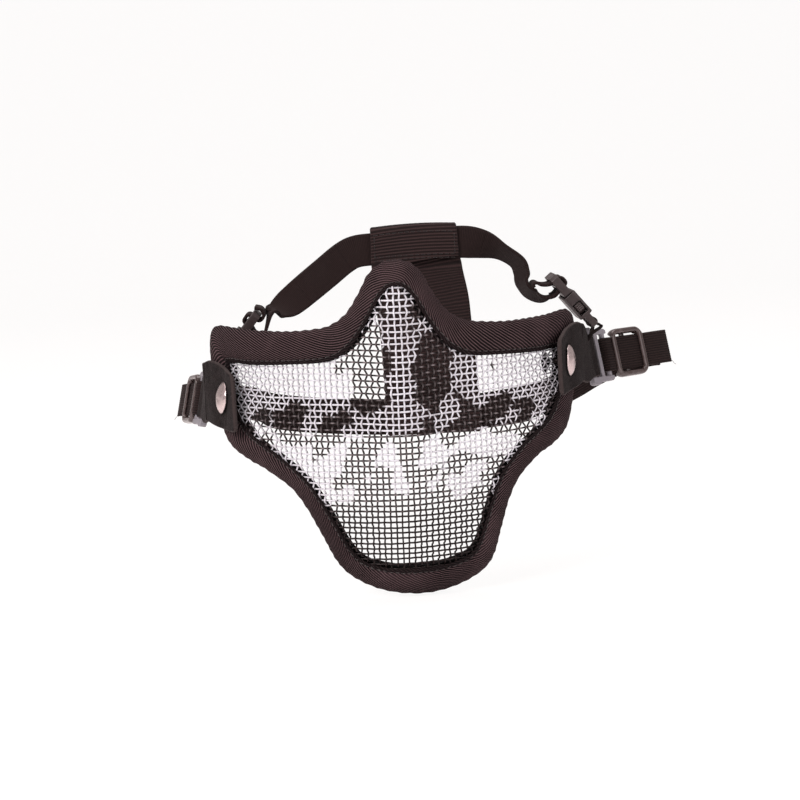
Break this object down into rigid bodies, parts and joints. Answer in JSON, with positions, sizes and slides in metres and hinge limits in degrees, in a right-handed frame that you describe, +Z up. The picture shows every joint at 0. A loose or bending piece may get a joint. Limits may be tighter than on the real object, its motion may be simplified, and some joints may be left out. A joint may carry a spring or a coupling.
{
  "type": "mesh face mask",
  "caption": "Lower-face mask of formed wire mesh with padded tape edge, riveted felt side tabs, strap rings and sliders, side-release buckles and an elastic head harness.",
  "frame": {"origin": "centre of the face opening on the mid-plane, midway in height between the two rivets", "axes": "+Z up as worn, the mask's front faces -Y, +X along its width"},
  "size_m": [0.2414, 0.1329, 0.1574],
  "materials": {
    "mesh_wire": "two-tone black and white spray paint over woven steel wire",
    "binding_tape": "diagonal twill tape",
    "binding_pad": "closed-cell foam",
    "tab_felt": "dense speckled felt",
    "rivet_steel": "polished, pink-silver",
    "ring_plastic": "satin moulded",
    "slider_plastic": "glossy moulded",
    "buckle_plastic": "fine moulded grain",
    "webbing": "ribbed webbing",
    "elastic": "smooth woven elastic",
    "panel_elastic": "wide elastic with crosswise ribs"
  },
  "bodies": {
    "mask": {"mesh_shell": "mesh_wire", "edge_binding": "binding_tape", "binding_foam": "binding_pad", "rivet_right": "rivet_steel", "rivet_left": "rivet_steel", "rivet_washer_right": "rivet_steel", "rivet_washer_left": "rivet_steel"},
    "tab_right": {"side_tab_right": "tab_felt", "buckle_link_right": "webbing", "buckle_female_right": "buckle_plastic", "buckle_male_right": "buckle_plastic", "strap_end_right": "elastic"},
    "prong_front_right": {"buckle_prong_front_right": "buckle_plastic"},
    "prong_rear_right": {"buckle_prong_rear_right": "buckle_plastic"},
    "ring_right": {"ring_right": "ring_plastic", "webbing_loop_right": "webbing"},
    "slider_right": {"slider_right": "slider_plastic"},
    "tab_left": {"side_tab_left": "tab_felt", "buckle_link_left": "webbing", "buckle_female_left": "buckle_plastic", "buckle_male_left": "buckle_plastic", "strap_end_left": "elastic"},
    "prong_front_left": {"buckle_prong_front_left": "buckle_plastic"},
    "prong_rear_left": {"buckle_prong_rear_left": "buckle_plastic"},
    "ring_left": {"ring_left": "ring_plastic", "webbing_loop_left": "webbing"},
    "slider_left": {"slider_left": "slider_plastic"},
    "harness": {"upper_strap_right": "elastic", "upper_strap_left": "elastic", "back_panel": "panel_elastic", "lower_strap": "webbing"}
  },
  "joints": [
    {"name": "tab_swivel_right", "type": "hinge", "parent": "mask", "child": "tab_right", "pos_m": [0.06984, -0.03039, 0.0048], "axis": [0.9605, -0.2758, 0.0374], "range_deg": [-6, 6]},
    {"name": "ring_flap_right", "type": "hinge", "parent": "tab_right", "child": "ring_right", "pos_m": [0.0915, 0.007, 0.0014], "axis": [-0.1481, 0.2149, 0.9653], "range_deg": [-20, 20]},
    {"name": "slider_travel_right", "type": "slide", "parent": "ring_right", "child": "slider_right", "axis": [0.8448, 0.535, 0.0105], "range_m": [0, 0.006]},
    {"name": "prong_front_squeeze_right", "type": "hinge", "parent": "tab_right", "child": "prong_front_right", "pos_m": [0.08213, 0.0044, 0.03045], "axis": [-0.7683, 0, -0.6401], "range_deg": [-9, 0], "stiffness_Nm_per_rad": 0.05},
    {"name": "prong_rear_squeeze_right", "type": "hinge", "parent": "tab_right", "child": "prong_rear_right", "pos_m": [0.08213, 0.0136, 0.03045], "axis": [-0.7683, 0, -0.6401], "range_deg": [0, 9], "stiffness_Nm_per_rad": 0.05},
    {"name": "tab_swivel_left", "type": "hinge", "parent": "mask", "child": "tab_left", "pos_m": [-0.06984, -0.0321, -0.0048], "axis": [-0.9498, -0.2727, 0.1532], "range_deg": [-6, 6]},
    {"name": "ring_flap_left", "type": "hinge", "parent": "tab_left", "child": "ring_left", "pos_m": [-0.0865, 0.005, -0.0084], "axis": [0.1972, 0.2148, 0.9565], "range_deg": [-20, 20]},
    {"name": "slider_travel_left", "type": "slide", "parent": "ring_left", "child": "slider_left", "axis": [-0.3064, 0.9403, -0.148], "range_m": [0, 0.006]},
    {"name": "prong_front_squeeze_left", "type": "hinge", "parent": "tab_left", "child": "prong_front_left", "pos_m": [-0.06863, 0.0044, 0.02005], "axis": [-0.7683, 0, 0.6401], "range_deg": [-9, 0], "stiffness_Nm_per_rad": 0.05},
    {"name": "prong_rear_squeeze_left", "type": "hinge", "parent": "tab_left", "child": "prong_rear_left", "pos_m": [-0.06863, 0.0136, 0.02005], "axis": [-0.7683, 0, 0.6401], "range_deg": [0, 9], "stiffness_Nm_per_rad": 0.05},
    {"name": "harness_stretch", "type": "slide", "parent": "mask", "child": "harness", "axis": [0, 1, 0], "range_m": [0, 0.03]}
  ],
  "couplings": [
    {"joint": "prong_rear_squeeze_right", "follows": "prong_front_squeeze_right", "ratio": -1},
    {"joint": "prong_rear_squeeze_left", "follows": "prong_front_squeeze_left", "ratio": -1}
  ]
}
